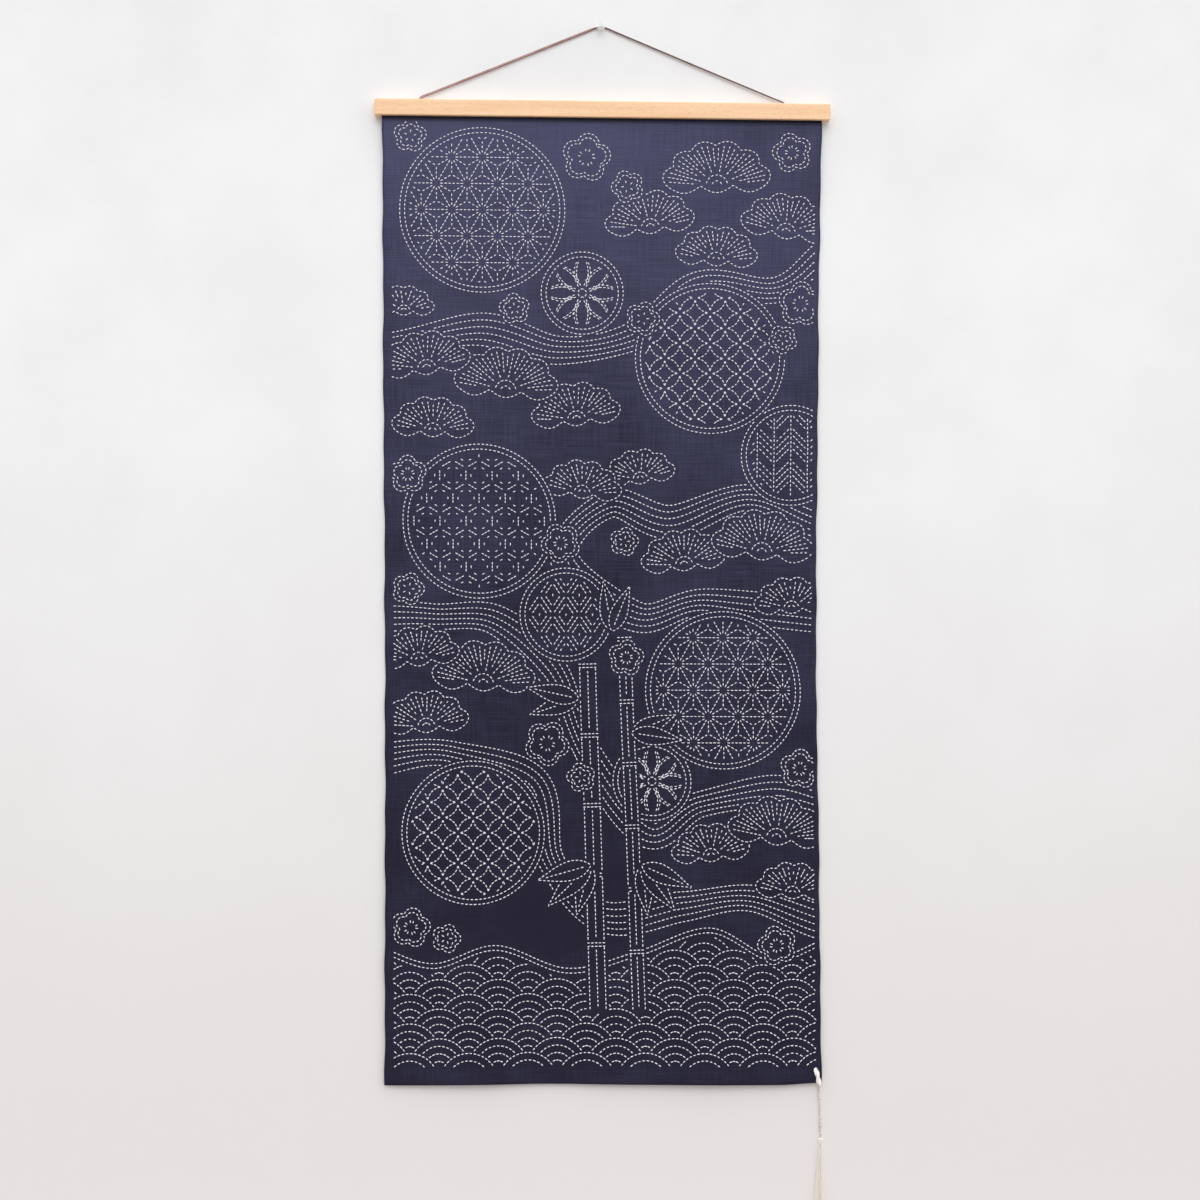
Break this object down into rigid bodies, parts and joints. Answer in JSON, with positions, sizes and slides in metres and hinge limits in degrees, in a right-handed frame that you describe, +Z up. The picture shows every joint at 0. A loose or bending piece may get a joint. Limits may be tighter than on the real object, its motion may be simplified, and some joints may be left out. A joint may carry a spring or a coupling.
{
  "type": "sashiko wall hanging with wooden hanger bar",
  "caption": "Sashiko-stitched indigo cloth clamped in a two-strip wooden bar, hung by a leather lace from a push pin, with a tassel at one corner.",
  "frame": {"origin": "on the push pin's axis, at the wall's face", "axes": "+Z up along the hanging cloth, +X to the viewer's right along the bar, +Y into the wall along the pin"},
  "size_m": [0.51, 0.0227, 1.3493],
  "materials": {
    "indigo_cotton": "matt plain-woven cotton with white running stitches",
    "beech": "sanded and lightly oiled",
    "brown_leather": "smooth on one side, matt on the other",
    "clear_plastic": "clear moulded",
    "needle_steel": "drawn wire",
    "cream_thread": "soft unglazed cotton thread"
  },
  "bodies": {
    "root": {"cloth": "indigo_cotton", "bar_front": "beech", "bar_back": "beech", "hanging_lace": "brown_leather", "wall_pin": "clear_plastic", "pin_needle": "needle_steel", "cord_loop": "cream_thread", "tassel_cord": "cream_thread", "tassel": "cream_thread"}
  },
  "joints": []
}
